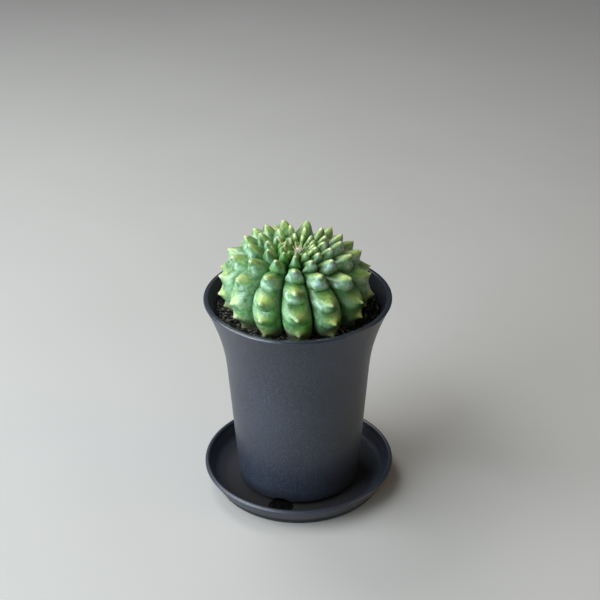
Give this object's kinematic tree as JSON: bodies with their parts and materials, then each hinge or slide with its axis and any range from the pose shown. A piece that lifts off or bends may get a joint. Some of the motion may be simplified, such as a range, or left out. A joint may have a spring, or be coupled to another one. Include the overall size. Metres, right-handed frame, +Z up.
{
  "type": "potted round cactus",
  "caption": "Round ribbed cactus with nippled tubercles, grown in dark granular soil in a slim tapered pot with a flared lip, standing on a round saucer",
  "frame": {"origin": "middle of the saucer's underside, on the surface it stands on", "axes": "+Z up, -Y towards the viewer of the picture, +X to the viewer's right"},
  "size_m": [0.0944, 0.0944, 0.1343],
  "materials": {
    "saucer_plastic": "fine-grained matte charcoal",
    "pot_plastic": "fine-grained matte charcoal",
    "soil_granules": "loose dark granules, slightly damp",
    "cactus_skin": "waxy green skin with paler and yellower flecks",
    "wool_and_spines": "off-white wool and straw-coloured spines"
  },
  "bodies": {
    "root": {"saucer": "saucer_plastic", "pot": "pot_plastic", "soil": "soil_granules", "cactus": "cactus_skin", "crown_tuft": "wool_and_spines"}
  },
  "joints": []
}
